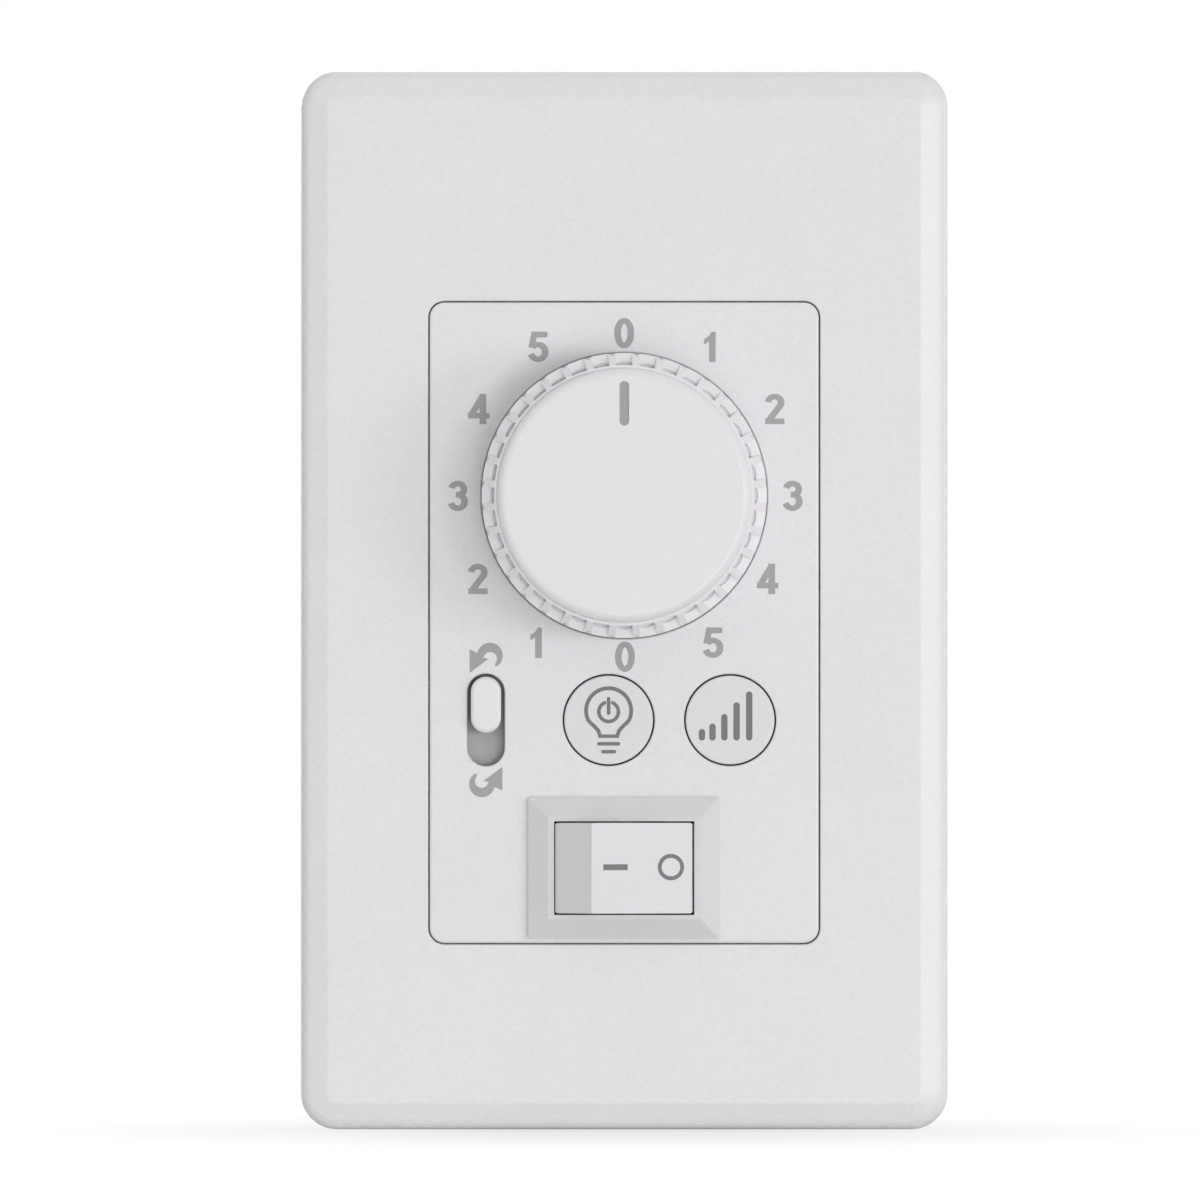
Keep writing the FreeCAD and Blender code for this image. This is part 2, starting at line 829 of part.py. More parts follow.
def detent_spring():
    low = shaft_collar + 2 * clear
    length = ball_at - ball_r - low - spring_wire - clear
    spring = coil(ball_r - spring_wire - clear, spring_wire, spring_turns, length)
    spring.translate(V(0, rotor_front + rotor_thick / 2, knob_z + low))
    return spring


def rotary_wiper():
    front = rotor_front + rotor_thick
    thick = contact_thick
    reach = contact_at + contact_r
    strip = obround(2 * contact_r, 2 * reach, front, front + thick, 0, knob_z)
    tip = board_front - cup_floor - contact_thick - clear
    bumps = []
    for radius in (contact_at, (common_in + common_out) / 2):
        for side in (-1, 1):
            foot = V(0, front, knob_z + side * radius)
            bumps.append(Part.makeCone(contact_r, contact_r / 2, tip - front, foot, V(0, 1, 0)))
    return joined(strip, bumps)


def slide_cap():
    front = face - slide_cap_out
    shutter_front = panel_back + shutter_room
    tongue_back = can_front - 2 * shutter_room
    body = obround(slide_cap_width, slide_cap_length, front, shutter_front, slide_x, slide_rest_z)
    body = body.makeFillet(slide_cap_round, edges_at(body, front))
    tongue = slab(tongue_width, tongue_length, shutter_front, tongue_back, slide_x, slide_rest_z)
    socket = slab(stem_width + shutter_room, stem_length + shutter_room, panel_back, tongue_back + past,
                  slide_x, slide_rest_z)
    return joined(body, [tongue]).cut(socket)


def slide_shutter():
    front = panel_back + shutter_room
    back = front + shutter_thick
    body = slab(shutter_width, shutter_length, front, back, slide_x, slide_rest_z, shutter_corner)
    hole = slab(tongue_width + shutter_room, tongue_length + shutter_room, front - past, back + past,
                slide_x, slide_rest_z)
    return body.cut(hole)


def slide_carriage():
    front = can_front + can_wall + shutter_room
    block = slab(carriage_width, carriage_length, front, front + carriage_thick, slide_x, slide_rest_z)
    stem = slab(stem_width, stem_length, panel_back + 2 * shutter_room, front, slide_x, slide_rest_z)
    return joined(block, [stem])


def slide_contact():
    front = can_front + can_wall + shutter_room + carriage_thick
    strip = slab(tongue_width, 2 * stem_length, front, front + contact_thick, slide_x, slide_rest_z)
    tip = front + 2 * contact_thick
    bumps = [disc(contact_r / 2, front, tip, slide_x, slide_rest_z + side * contact_step) for side in (-1, 1)]
    return joined(strip, bumps)


def slide_frame():
    body = slab(can_width, can_length, can_front, can_back, slide_x, slide_z, can_wall)
    inside = slab(can_width - 2 * can_wall, can_length - 2 * can_wall, can_front + can_wall,
                  can_back + past, slide_x, slide_z)
    window_room = 4 * shutter_room
    window = slab(tongue_width + window_room, stem_length + slide_travel + window_room,
                  can_front - past, can_back, slide_x, slide_z)
    return body.cut([inside, window])


def slide_pins(radius):
    front = can_front + can_wall + carriage_thick + 2 * contact_thick + 2 * shutter_room
    return Part.makeCompound([disc(radius, front, board_front, slide_x, slide_z + step * slide_travel)
                              for step in (-1, 0, 1)])


def slide_base():
    body = slab(can_width, can_length, can_back, board_front, slide_x, slide_z, can_wall)
    return body.cut(slide_pins(pin_r + fit).Solids)


def push_key(x):
    back = panel_back + key_room
    flange_back = back + key_flange
    stem_back = board_front - tact_height - tact_stem_out
    body = joined(disc(key_r, face, back, x, key_z), [disc(key_flange_r, back, flange_back, x, key_z)])
    body = body.makeFillet(key_round, edges_at(body, face))
    body = body.cut(disc(key_r - key_wall, face + key_wall, flange_back + past, x, key_z))
    return joined(body, [disc(key_stem_r, face + key_wall / 2, stem_back, x, key_z)])


def tact_body(x):
    front = board_front - tact_height
    body = slab(tact_side, tact_side, front, board_front, x, key_z, tact_cover)
    legs = []
    for side in (-1, 1):
        for row in (-1, 1):
            leg_x = x + side * (tact_side + leg_out) / 2
            leg_z = key_z + row * tact_side / 4
            legs.append(slab(leg_out, leg_width, board_front - tact_cover, board_front, leg_x, leg_z))
    room = disc(tact_stem_r + key_room, front - past, front + tact_height / 2, x, key_z)
    return joined(body, legs).cut(room)


def tact_stem(x):
    front = board_front - tact_height
    back = front + tact_height / 2 - key_travel - key_room
    return disc(tact_stem_r, front - tact_stem_out, back, x, key_z)


def rocker_frame():
    edge = face - bezel_edge
    low = slab(bezel_width, bezel_height, edge, face, z=rocker_z, corner=bezel_corner)
    wide = rounded_outline(bezel_width, bezel_height, bezel_corner, edge)
    top_width = bezel_width - 2 * bezel_slope
    top_height = bezel_height - 2 * bezel_slope
    narrow = rounded_outline(top_width, top_height, bezel_corner / 2, bezel_top)
    slope = Part.makeLoft([wide, narrow], True, True)
    slope.translate(V(0, 0, rocker_z))
    sleeve = slab(body_width, body_height, face, body_back, z=rocker_z)
    body = joined(low, [slope, sleeve] + snap_tabs())
    opening = slab(opening_width, opening_height, bezel_top - past, face + bezel_edge, z=rocker_z,
                   corner=opening_round)
    inner_width = body_width - 2 * body_wall
    inner = slab(inner_width, opening_height, pivot_y, body_back + past, z=rocker_z)
    sweep = Part.makeCylinder(rocker_r + rocker_gap, opening_height,
                              V(0, pivot_y, rocker_z - opening_height / 2), V(0, 0, 1))
    sweep = sweep.common(slab(inner_width, opening_height, bezel_top - past, body_back, z=rocker_z))
    axle = Part.makeCylinder(trunnion_r + clear / 2, body_height + 2 * past,
                             V(0, pivot_y, rocker_z - body_height / 2 - past), V(0, 0, 1))
    return body.cut([opening, inner, sweep, axle])


def snap_tabs():
    root = body_width / 2 - clear
    front = panel_back + clear
    outline = ((root, front), (body_width / 2 + catch_out, front), (root, front + catch_long))
    solids = []
    for side in (-1, 1):
        points = [(side * x, y) for x, y in outline]
        solids.append(cut_profile(points, rocker_z - catch_width / 2, rocker_z + catch_width / 2))
    return solids


def rocker_point(radius, degrees):
    a = math.radians(degrees)
    return V(radius * math.sin(a), pivot_y - radius * math.cos(a), 0)


def rocker():
    corner = math.degrees(math.atan2(crest_half, crest_reach))
    skirt = 90.0 - arc_end
    half = opening_height / 2 - rocker_gap
    turns = (-skirt, -corner, corner, skirt)
    points = [rocker_point(rocker_r, turn) for turn in turns]
    outer = Part.Face(Part.makePolygon(points + points[:1]))
    body = outer.extrude(V(0, 0, 2 * half))
    ends = [e for e in body.Edges if e.BoundBox.YLength > rocker_skin and e.BoundBox.ZLength < fit]
    body = body.makeFillet(rocker_round, ends)
    body.translate(V(0, 0, rocker_z - half))
    core_r = rocker_r - rocker_skin
    core_half = half - rocker_skin
    core = Part.makeCylinder(core_r, 2 * core_half, V(0, pivot_y, rocker_z - core_half), V(0, 0, 1))
    roof = pivot_y - crest_reach + rocker_skin
    core = core.common(slab(2 * rocker_r, 2 * half, roof, pivot_y + rocker_r, z=rocker_z))
    body = body.cut(core)
    cheek_end = pivot_y + trunnion_r + rocker_skin
    cheeks = []
    for side in (-1, 1):
        z = rocker_z + side * (half - rocker_skin / 2)
        cheeks.append(slab(4 * trunnion_r, rocker_skin, pivot_y - crest_reach / 2, cheek_end, z=z))
        z = rocker_z + side * (half + trunnion_length / 2 - rocker_skin / 2)
        cheeks.append(Part.makeCylinder(trunnion_r, trunnion_length + rocker_skin,
                                        V(0, pivot_y, z - (trunnion_length + rocker_skin) / 2), V(0, 0, 1)))
    tube_top = pivot_y - crest_reach + rocker_skin / 2
    tube = disc(stem_tube_r, tube_top, pivot_y + stem_tube_end, 0, rocker_z)
    web = slab(2 * half, rocker_skin, tube_top, pivot_y - rocker_skin, z=rocker_z)
    body = joined(body, cheeks + [tube, web])
    bore = disc(stem_bore_r, pivot_y + spring_top, pivot_y + stem_tube_end + past, 0, rocker_z)
    return tilted(body.cut(bore))


def tilted(solid):
    solid.rotate(V(0, pivot_y, rocker_z), V(0, 0, 1), tilt)
    return solid


def rocker_plunger():
    radius = stem_bore_r - clear / 2
    body = disc(radius, pivot_y + plunger_head, pivot_y + plunger_end - radius, 0, rocker_z)
    tip = Part.makeSphere(radius, V(0, pivot_y + plunger_end - radius, rocker_z))
    return tilted(joined(body, [tip]))


def rocker_spring():
    low = pivot_y + spring_top + 2 * spring_wire
    length = pivot_y + plunger_head - low - 2 * spring_wire
    spring = coil(stem_bore_r - spring_wire - clear, spring_wire, spring_turns, length)
    spring.rotate(V(0, 0, 0), V(1, 0, 0), -90)
    spring.translate(V(0, low, rocker_z))
    return tilted(spring)


def blade_pivot():
    return pivot_y + plunger_end + blade_room + blade_thick


def contact_blade():
    slope = math.radians(blade_flank)
    across = blade_wing * math.cos(slope)
    rise = blade_wing * math.sin(slope)
    low = blade_pivot()
    inner = low - blade_thick
    outer_points = ((-across, low - rise), (0, low), (across, low - rise))
    points = outer_points + ((across, inner - rise), (0, inner), (-across, inner - rise))
    foot = rocker_z - blade_width / 2
    blade = cut_profile(points, foot, foot + blade_width)
    bead = Part.makeCylinder(bead_r, blade_width, V(0, low, foot), V(0, 0, 1))
    blade = joined(blade, [bead])
    blade.rotate(V(0, low, rocker_z), V(0, 0, 1), -blade_tilt)
    return blade


def rocker_base(terminals):
    width = body_width - 2 * body_wall - clear
    height = opening_height - clear
    plug_front = body_back - 2 * base_floor
    outer = slab(body_width, body_height, body_back, base_back, z=rocker_z)
    body = joined(outer, [slab(width, height, plug_front, body_back, z=rocker_z)])
    inside = slab(width - 2 * base_floor, height - 2 * base_floor, plug_front - past,
                  base_back - base_floor, z=rocker_z)
    return body.cut([inside] + terminals.Solids)


def rocker_terminals():
    fulcrum = blade_pivot() + bead_r + fit
    centre = slab(tab_thick, tab_blade, fulcrum, tab_end, 0, rocker_z)
    slope = math.radians(blade_flank - blade_tilt)
    touch = blade_pivot() - (contact_x - rivet_r) * math.tan(slope) + fit
    side = slab(tab_thick, tab_blade, touch + rivet_thick, tab_end, contact_x, rocker_z)
    rivet = disc(rivet_r, touch, touch + rivet_thick, contact_x, rocker_z)
    return Part.makeCompound([centre, joined(side, [rivet])])


def switch_leads():
    solids = []
    low = rocker_z + tab_blade / 2
    y = tab_end - 2 * lead_r
    rise = board_low + lead_bend / 2
    for x in (0, contact_x):
        up = Part.makeCylinder(lead_r, rise - low, V(x, y, low), V(0, 0, 1))
        section = Part.Face(Part.Wire(Part.makeCircle(lead_r, V(x, y, rise), V(0, 0, 1))))
        bend = section.revolve(V(x, y - lead_bend, rise), V(1, 0, 0), 90)
        run = disc(lead_r, board_back, y - lead_bend, x, rise + lead_bend)
        solids.append(joined(up, [bend, run]))
    return Part.makeCompound(solids)


def filter_capacitor():
    width, height, depth = film_size
    return slab(width, height, board_back, board_back + depth, film_at[0], film_at[1], film_corner)


def choke_coil():
    x, z = choke_at
    top = board_back + choke_tall
    low_flange = disc(choke_r, board_back, board_back + choke_flange, x, z)
    top_flange = disc(choke_r, top - choke_flange, top, x, z)
    return joined(disc(choke_winding_r, board_back, top, x, z), [low_flange, top_flange])


def can_on_board(radius, tall, x, z):
    body = disc(radius, board_back, board_back + tall, x, z)
    return body.makeChamfer(can_break, edges_at(body, board_back + tall))


def triac():
    x, z = triac_at
    leg_top = board_back + triac_leg
    body_top = leg_top + triac_body
    body = slab(triac_width, triac_deep, leg_top, body_top, x, z)
    tab_z = z + (triac_deep - triac_tab) / 2
    tab = slab(triac_width, triac_tab, body_top, body_top + triac_tab_out, x, tab_z)
    hole_at = V(x, body_top + triac_tab_out / 2, z - triac_deep)
    hole = Part.makeCylinder(triac_hole_r, 2 * triac_deep, hole_at, V(0, 0, 1))
    legs = [slab(chip_leg, chip_leg, board_back, leg_top, x + step * triac_pitch, z) for step in (-1, 0, 1)]
    return joined(body, [tab] + legs).cut(hole)


def controller_chip():
    x, z = chip_at
    width, height = chip_size
    body = slab(width, height, board_back + chip_lift, board_back + chip_tall, x, z)
    span = height + 2 * chip_leg_out
    legs = []
    for step in range(chip_legs):
        leg_x = x + (step - (chip_legs - 1) / 2) * chip_pitch
        legs.append(slab(chip_leg, span, board_back, board_back + chip_lift + chip_leg / 2, leg_x, z))
    return joined(body, legs)


os.makedirs("parts", exist_ok=True)
terminals = rocker_terminals()
pieces = {
    "wall_plate": wall_plate(),
    "snap_frame": snap_frame(),
    "frame_screws": frame_screws(),
    "mounting_strap": mounting_strap(),
    "ground_screw": ground_screw(),
    "control_panel": control_panel(),
    "rear_housing": rear_housing(),
    "housing_screws": housing_screws(),
    "main_board": main_board(),
    "board_screws": board_screws(),
    "terminal_plates": terminal_plates(),
    "terminal_screws": terminal_screws(),
    "knob": knob(),
    "rotary_shaft": rotary_shaft(),
    "rotary_cover": rotary_cover(),
    "rotary_washer": rotary_washer(),
    "rotary_nut": rotary_nut(),
    "rotary_contacts": rotary_contacts(),
    "rotary_case": rotary_case(),
    "rotary_rotor": rotary_rotor(),
    "detent_ball": detent_ball(),
    "detent_spring": detent_spring(),
    "rotary_wiper": rotary_wiper(),
    "slide_cap": slide_cap(),
    "slide_shutter": slide_shutter(),
    "slide_carriage": slide_carriage(),
    "slide_contact": slide_contact(),
    "slide_frame": slide_frame(),
    "slide_pins": slide_pins(pin_r),
    "slide_base": slide_base(),
    "light_key": push_key(light_x),
    "light_switch_body": tact_body(light_x),
    "light_switch_stem": tact_stem(light_x),
    "dimmer_key": push_key(dimmer_x),
    "dimmer_switch_body": tact_body(dimmer_x),
    "dimmer_switch_stem": tact_stem(dimmer_x),
    "rocker_frame": rocker_frame(),
    "rocker": rocker(),
    "rocker_plunger": rocker_plunger(),
    "rocker_spring": rocker_spring(),
    "contact_blade": contact_blade(),
    "rocker_terminals": terminals,
    "rocker_base": rocker_base(terminals),
    "switch_leads": switch_leads(),
    "filter_capacitor": filter_capacitor(),
    "choke_coil": choke_coil(),
    "buffer_capacitor": can_on_board(buffer_r, buffer_tall, *buffer_at),
    "triac": triac(),
    "fuse": can_on_board(fuse_r, fuse_tall, *fuse_at),
    "controller_chip": controller_chip(),
}
for name, shape in pieces.items():
    save(name, shape)
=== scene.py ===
import math

import bmesh
import bpy
from mathutils import Matrix, Vector
from mathutils.geometry import delaunay_2d_cdt


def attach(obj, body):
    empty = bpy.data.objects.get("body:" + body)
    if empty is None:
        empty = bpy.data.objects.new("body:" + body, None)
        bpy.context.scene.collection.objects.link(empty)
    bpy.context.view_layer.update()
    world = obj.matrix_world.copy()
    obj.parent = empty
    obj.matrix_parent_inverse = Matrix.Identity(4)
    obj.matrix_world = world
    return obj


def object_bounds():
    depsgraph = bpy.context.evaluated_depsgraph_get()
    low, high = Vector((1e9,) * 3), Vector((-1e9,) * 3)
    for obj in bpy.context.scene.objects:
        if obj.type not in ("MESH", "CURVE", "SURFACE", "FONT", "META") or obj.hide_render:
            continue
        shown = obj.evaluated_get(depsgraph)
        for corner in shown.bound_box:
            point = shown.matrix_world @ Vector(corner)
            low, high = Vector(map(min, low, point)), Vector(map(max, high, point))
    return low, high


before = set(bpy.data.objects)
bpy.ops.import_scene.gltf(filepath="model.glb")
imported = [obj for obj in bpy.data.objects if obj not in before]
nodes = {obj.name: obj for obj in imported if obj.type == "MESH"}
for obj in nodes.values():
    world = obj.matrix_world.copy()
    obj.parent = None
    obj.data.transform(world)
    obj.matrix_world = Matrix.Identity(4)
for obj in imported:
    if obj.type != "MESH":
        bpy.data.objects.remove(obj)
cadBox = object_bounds()
mm = 0.001


# shading: one socket as a value, so that shader maths reads as maths
class Wire:
    def __init__(self, tree, socket=None):
        self.tree = tree
        self.socket = socket

    # any node: its type, then its settings, then the values or links of its sockets
    def make(self, kind, settings=None, sockets=None, out=0):
        node = self.tree.nodes.new(kind)
        for name, value in (settings or {}).items():
            setattr(node, name, value)
        for name, value in (sockets or {}).items():
            if isinstance(value, Wire):
                self.tree.links.new(value.socket, node.inputs[name])
            else:
                node.inputs[name].default_value = value
        return Wire(self.tree, node.outputs[out] if node.outputs else None)

    def maths(self, operation, first, second):
        return self.make("ShaderNodeMath", {"operation": operation}, {0: first, 1: second})

    def __add__(self, other):
        return self.maths("ADD", self, other)

    def __radd__(self, other):
        return self.maths("ADD", other, self)

    def __sub__(self, other):
        return self.maths("SUBTRACT", self, other)

    def __rsub__(self, other):
        return self.maths("SUBTRACT", other, self)

    def __mul__(self, other):
        return self.maths("MULTIPLY", self, other)

    def __rmul__(self, other):
        return self.maths("MULTIPLY", other, self)

    def atLeast(self, other):
        return self.maths("MAXIMUM", self, other)

    def span(self, low, high, settings=None, **ends):
        sockets = {"Value": self, "From Min": low, "From Max": high}
        sockets.update({"To " + end.capitalize(): value for end, value in ends.items()})
        return self.make("ShaderNodeMapRange", {"clamp": True, **(settings or {})}, sockets)

    # the Mix node keeps its colours in sockets 6 and 7, and gives a colour from its third output
    def blend(self, first, second):
        return self.make("ShaderNodeMix", {"data_type": "RGBA"}, {"Factor": self, 6: first, 7: second}, out=2)


smooth = {"interpolation_type": "SMOOTHSTEP"}


def linear(level):
    part = level / 255
    return part / 12.92 if part <= 0.04045 else ((part + 0.055) / 1.055) ** 2.4


def colourOf(levels):
    return tuple(linear(level) for level in levels) + (1.0,)


def scaled(colour, factor):
    return tuple(min(1.0, channel * factor) for channel in colour[:3]) + (1.0,)


def newFinish(name):
    material = bpy.data.materials.new(name)
    material.use_nodes = True
    material.node_tree.nodes.clear()
    return material, Wire(material.node_tree)


def closeFinish(start, shader):
    start.make("ShaderNodeOutputMaterial", None, {"Surface": shader})


def grainAt(start, place, size, detail, rough=0.55):
    return start.make("ShaderNodeTexNoise", {"noise_dimensions": "3D"},
                      {"Vector": place, "Scale": 1 / (size * mm), "Detail": detail, "Roughness": rough})


# a colour that wanders a little to either side of the one given
def mottled(look, factor):
    colour = colourOf(look["colour"])
    return factor.blend(scaled(colour, 1 - look["mottle"]), scaled(colour, 1 + look["mottle"]))


# painted shade: the sides of a gap go grey below the face, standing in for the shade there
def paintedGapShade(start, place, tone, sunk):
    level = start.make("ShaderNodeSeparateXYZ", None, {"Vector": place}, out=sunk["axis"])
    if "middle" in sunk:
        level = start.maths("ABSOLUTE", level - sunk["middle"] * mm, 0)
    return level.span(sunk["first"] * mm, sunk["last"] * mm).blend(tone, colourOf(sunk["colour"]))


# moulded plastic: a faint cloud and flecks in the colour, spark-eroded grain in the bump, gloss in patches
moulding = {"cloudDetail": 3.0, "grainDetail": 2.0, "speckDetail": 1.0, "speckSize": 2.3, "cloudTone": 0.35,
            "speckTone": 0.65, "palest": 0.7, "deepest": 0.3, "grainRise": 0.7, "speckRise": 0.3}


def plasticFinish(name, look):
    material, start = newFinish(name)
    place = start.make("ShaderNodeTexCoord", out="Object")
    cloud = grainAt(start, place, look["cloud"], moulding["cloudDetail"])
    grain = grainAt(start, place, look["grain"], moulding["grainDetail"])
    speck = grainAt(start, place, look["grain"] * moulding["speckSize"], moulding["speckDetail"])
    fleck = cloud * moulding["cloudTone"] + speck * moulding["speckTone"]
    tone = mottled(look, fleck.span(moulding["deepest"], moulding["palest"]))
    # painted shade: gap sides below the face are darkened as if in shade
    if "sunk" in look:
        tone = paintedGapShade(start, place, tone, look["sunk"])
    gloss = look["rough"] + (cloud - 0.5) * look["patch"]
    height = grain * moulding["grainRise"] + speck * moulding["speckRise"]
    relief = start.make("ShaderNodeBump", None,
                        {"Strength": look["relief"], "Distance": look["depth"] * mm, "Height": height})
    shader = start.make("ShaderNodeBsdfPrincipled", None,
                        {"Base Color": tone, "Roughness": gloss, "Normal": relief,
                         "Specular IOR Level": look["shine"]})
    closeFinish(start, shader)
    return material


# printed ink: one tone with a fine grain in its colour, gloss and surface
printing = {"detail": 3.0, "relief": 0.2, "depth": 0.01, "patch": 0.1, "shine": 0.3}


def inkFinish(name, look):
    material, start = newFinish(name)
    place = start.make("ShaderNodeTexCoord", out="Object")
    grain = grainAt(start, place, look["grain"], printing["detail"])
    gloss = look["rough"] + (grain - 0.5) * printing["patch"]
    relief = start.make("ShaderNodeBump", None,
                        {"Strength": printing["relief"], "Distance": printing["depth"] * mm, "Height": grain})
    shader = start.make("ShaderNodeBsdfPrincipled", None,
                        {"Base Color": mottled(look, grain), "Roughness": gloss, "Normal": relief,
                         "Specular IOR Level": printing["shine"]})
    closeFinish(start, shader)
    return material


# metal: long drawn scratches one way, cloudy plating over them
plating = {"lineDetail": 3.0, "cloudDetail": 4.0, "cloudRough": 0.6, "cloudTone": 0.6, "lineTone": 0.4,
           "depth": 0.02, "patch": 0.25}


def metalFinish(name, look):
    material, start = newFinish(name)
    place = start.make("ShaderNodeTexCoord", out="Object")
    stretched = start.make("ShaderNodeVectorMath", {"operation": "MULTIPLY"}, {0: place, 1: look["drawn"]})
    lines = grainAt(start, stretched, look["grain"], plating["lineDetail"])
    cloud = grainAt(start, place, look["cloud"], plating["cloudDetail"], plating["cloudRough"])
    tone = mottled(look, cloud * plating["cloudTone"] + lines * plating["lineTone"])
    gloss = look["rough"] + (cloud - 0.5) * plating["patch"]
    relief = start.make("ShaderNodeBump", None,
                        {"Strength": look["relief"], "Distance": plating["depth"] * mm, "Height": lines})
    shader = start.make("ShaderNodeBsdfPrincipled", None,
                        {"Base Color": tone, "Metallic": 1.0, "Roughness": gloss, "Normal": relief})
    closeFinish(start, shader)
    return material


# painted shade: gap sides go grey with depth, standing in for the shade there; on the rocker only its pivot
# pins do
gapShadeTone = (92, 90, 92)
gapShade = {"axis": "Y", "first": -6.2, "last": -5.6, "colour": gapShadeTone}
pinGapShade = {"axis": "Z", "middle": -28.9, "first": 4.91, "last": 4.95, "colour": gapShadeTone}
plasticLooks = {
    "plate": {"colour": (228, 226, 229), "mottle": 0.035, "cloud": 14.0, "grain": 0.16, "depth": 0.02,
              "relief": 0.25, "rough": 0.28, "patch": 0.02, "shine": 0.5},
    "knob": {"colour": (230, 228, 231), "mottle": 0.02, "cloud": 9.0, "grain": 0.14, "depth": 0.012,
             "relief": 0.2, "rough": 0.28, "patch": 0.02, "shine": 0.5},
    "key": {"colour": (226, 224, 227), "mottle": 0.02, "cloud": 6.0, "grain": 0.14, "depth": 0.012,
            "relief": 0.2, "rough": 0.45, "patch": 0.04, "shine": 0.42, "sunk": gapShade},
    "thumb": {"colour": (233, 232, 233), "mottle": 0.015, "cloud": 5.0, "grain": 0.12, "depth": 0.008,
              "relief": 0.2, "rough": 0.38, "patch": 0.04, "shine": 0.42, "sunk": gapShade},
    "bezel": {"colour": (216, 216, 218), "mottle": 0.02, "cloud": 8.0, "grain": 0.14, "depth": 0.012,
              "relief": 0.2, "rough": 0.42, "patch": 0.06, "shine": 0.42, "sunk": gapShade},
    "rocker": {"colour": (222, 222, 225), "mottle": 0.015, "cloud": 8.0, "grain": 0.12, "depth": 0.008,
               "relief": 0.16, "rough": 0.36, "patch": 0.06, "shine": 0.45, "sunk": pinGapShade},
    "shutter": {"colour": (193, 191, 192), "mottle": 0.05, "cloud": 4.0, "grain": 0.12, "depth": 0.015,
                "relief": 0.3, "rough": 0.5, "patch": 0.1, "shine": 0.4},
    "subPlate": {"colour": (214, 213, 212), "mottle": 0.03, "cloud": 12.0, "grain": 0.2, "depth": 0.03,
                 "relief": 0.4, "rough": 0.55, "patch": 0.12, "shine": 0.4},
    "housing": {"colour": (98, 100, 104), "mottle": 0.08, "cloud": 10.0, "grain": 0.28, "depth": 0.05,
                "relief": 0.6, "rough": 0.58, "patch": 0.16, "shine": 0.4},
    "black": {"colour": (38, 38, 40), "mottle": 0.12, "cloud": 5.0, "grain": 0.2, "depth": 0.03,
              "relief": 0.4, "rough": 0.5, "patch": 0.16, "shine": 0.45},
    "laminate": {"colour": (58, 96, 66), "mottle": 0.14, "cloud": 3.0, "grain": 0.4, "depth": 0.02,
                 "relief": 0.3, "rough": 0.4, "patch": 0.14, "shine": 0.5},
    "film": {"colour": (196, 168, 58), "mottle": 0.06, "cloud": 4.0, "grain": 0.2, "depth": 0.02,
             "relief": 0.3, "rough": 0.36, "patch": 0.12, "shine": 0.5},
    "sleeve": {"colour": (150, 42, 36), "mottle": 0.06, "cloud": 3.0, "grain": 0.2, "depth": 0.02,
               "relief": 0.3, "rough": 0.46, "patch": 0.12, "shine": 0.45},
}
plasticLooks["panel"] = {**plasticLooks["plate"], "sunk": gapShade}
metalLooks = {
    "zinc": {"colour": (188, 190, 192), "mottle": 0.12, "drawn": (1.0, 1.0, 0.06), "grain": 0.1,
             "cloud": 3.5, "relief": 0.25, "rough": 0.36},
    "brass": {"colour": (205, 168, 92), "mottle": 0.12, "drawn": (1.0, 0.08, 1.0), "grain": 0.1,
              "cloud": 2.5, "relief": 0.25, "rough": 0.3},
    "copper": {"colour": (186, 104, 62), "mottle": 0.16, "drawn": (0.05, 1.0, 0.05), "grain": 0.35,
               "cloud": 2.0, "relief": 0.8, "rough": 0.3},
    "greenZinc": {"colour": (62, 132, 74), "mottle": 0.15, "drawn": (1.0, 1.0, 0.1), "grain": 0.12,
                  "cloud": 2.0, "relief": 0.25, "rough": 0.34},
}
inkLooks = {
    "dialInk": {"colour": (166, 165, 167), "mottle": 0.05, "grain": 0.15, "rough": 0.5},
    "keyInk": {"colour": (123, 121, 124), "mottle": 0.05, "grain": 0.15, "rough": 0.5},
}
finishes = {name: plasticFinish(name + "Plastic", look) for name, look in plasticLooks.items()}
finishes.update({name: metalFinish(name + "Metal", look) for name, look in metalLooks.items()})
finishes.update({name: inkFinish(name, look) for name, look in inkLooks.items()})
print("finishes", len(finishes))

# every slot of the record and the finish that it takes, then the nodes that differ from their slot
slotFinish = {
    "white_shell": "plate", "white_control": "knob", "white_switch": "rocker", "white_frame": "subPlate",
    "grey_housing": "housing", "grey_shutter": "shutter", "black_plastic": "black",
    "board_laminate": "laminate", "film_case": "film", "lead_sleeve": "sleeve", "choke_winding": "copper",
    "zinc_steel": "zinc", "brass_metal": "brass", "green_screw": "greenZinc",
}
nodeFinish = {"control_panel": "panel", "light_key": "key", "dimmer_key": "key", "slide_cap": "thumb",
              "rocker_frame": "bezel"}
for name, node in nodes.items():
    for place in node.material_slots:
        slotName = place.material.name.split(".")[0]
        place.link = "OBJECT"
        place.material = finishes[nodeFinish.get(name, slotFinish[slotName])]
print("nodes finished", len(nodes))

# flat marks: strokes joined into one thin film that sits on a face; sizes in mm, from the middle of the plate
facePlane = -6.4
inkFilm = {"sunk": 0.02, "proud": 0.012, "join": 1e-5, "roundSteps": 20, "ringSteps": 48, "sharpest": 0.5}


def arcOf(cx, cz, rx, rz, first, last, steps):
    turns = [math.radians(first + (last - first) * step / steps) for step in range(steps + 1)]
    return [(cx + rx * math.cos(t), cz + rz * math.sin(t)) for t in turns]


def ringOf(cx, cz, rx, rz, steps):
    return arcOf(cx, cz, rx, rz, 0, 360, steps)[:-1]


